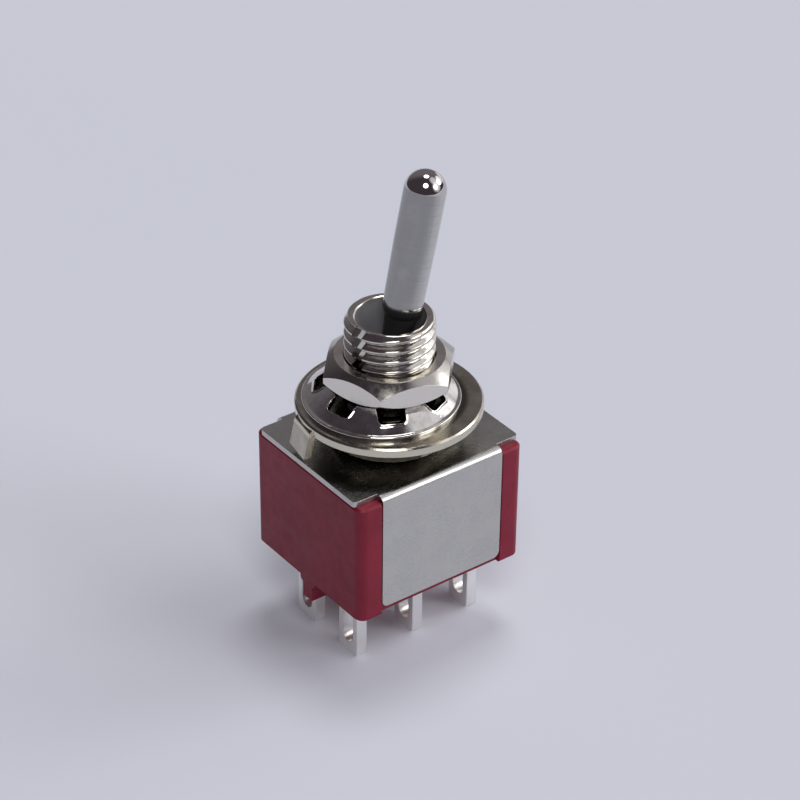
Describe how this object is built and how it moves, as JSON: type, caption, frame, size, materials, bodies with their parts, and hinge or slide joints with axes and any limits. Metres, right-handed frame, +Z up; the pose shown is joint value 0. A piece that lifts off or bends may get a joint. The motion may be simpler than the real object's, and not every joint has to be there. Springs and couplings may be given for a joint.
{
  "type": "panel toggle switch",
  "caption": "Miniature panel-mount toggle switch with a round bat lever, threaded bushing with hex nuts and washers, and flat solder lugs.",
  "frame": {"origin": "on the bushing's axis, at the height of the solder lugs' tips", "axes": "+Z up along the bushing towards the lever, X along the lever's throw and the case's long side, Y across the two poles"},
  "size_m": [0.0134, 0.0122, 0.0328],
  "materials": {
    "case_moulding": "satin moulded red",
    "frame_sheet": "satin plated sheet",
    "nickel_plate": "bright nickel plate over brass",
    "lever_plate": "satin nickel plate over brass, polished dome",
    "pin_steel": "ground",
    "washer_plate": "bright plated steel",
    "nylon": "natural moulded nylon",
    "spring_steel": "drawn wire",
    "silver_plate": "bright silver plate over brass"
  },
  "bodies": {
    "housing": {"case": "case_moulding", "frame": "frame_sheet", "bushing": "nickel_plate", "keyed_washer": "washer_plate", "lock_washer": "washer_plate", "hex_nuts": "nickel_plate", "terminal_1": "silver_plate", "terminal_2": "silver_plate", "terminal_3": "silver_plate", "terminal_4": "silver_plate", "terminal_5": "silver_plate", "terminal_6": "silver_plate"},
    "lever": {"lever": "lever_plate", "pivot_pin": "pin_steel"},
    "carriage": {"carriage": "nylon", "spring_front": "spring_steel", "spring_back": "spring_steel"},
    "plunger_front": {"plunger_front": "nylon"},
    "plunger_back": {"plunger_back": "nylon"},
    "rocker_front": {"rocker_front": "silver_plate"},
    "rocker_back": {"rocker_back": "silver_plate"}
  },
  "joints": [
    {"name": "lever_swing", "type": "hinge", "parent": "housing", "child": "lever", "pos_m": [0, 0, 0.01895], "axis": [0, 1, 0], "range_deg": [-24, 0]},
    {"name": "carriage_slide", "type": "slide", "parent": "housing", "child": "carriage", "axis": [1, 0, 0], "range_m": [0, 0.00299]},
    {"name": "rocker_front_tip", "type": "hinge", "parent": "housing", "child": "rocker_front", "pos_m": [0, -0.00235, 0.008], "axis": [0, 1, 0], "range_deg": [0, 13]},
    {"name": "rocker_back_tip", "type": "hinge", "parent": "housing", "child": "rocker_back", "pos_m": [0, 0.00235, 0.008], "axis": [0, 1, 0], "range_deg": [0, 13]},
    {"name": "plunger_front_press", "type": "slide", "parent": "carriage", "child": "plunger_front", "axis": [0, 0, 1], "range_m": [0, 0.0003], "stiffness_N_per_m": 200, "deforming": ["spring_front"]},
    {"name": "plunger_back_press", "type": "slide", "parent": "carriage", "child": "plunger_back", "axis": [0, 0, 1], "range_m": [0, 0.0003], "stiffness_N_per_m": 200, "deforming": ["spring_back"]}
  ],
  "couplings": [
    {"joint": "carriage_slide", "follows": "lever_swing", "m_per_rad": -0.0071488},
    {"joint": "rocker_front_tip", "follows": "lever_swing", "ratio": -0.54167},
    {"joint": "rocker_back_tip", "follows": "lever_swing", "ratio": -0.54167}
  ]
}
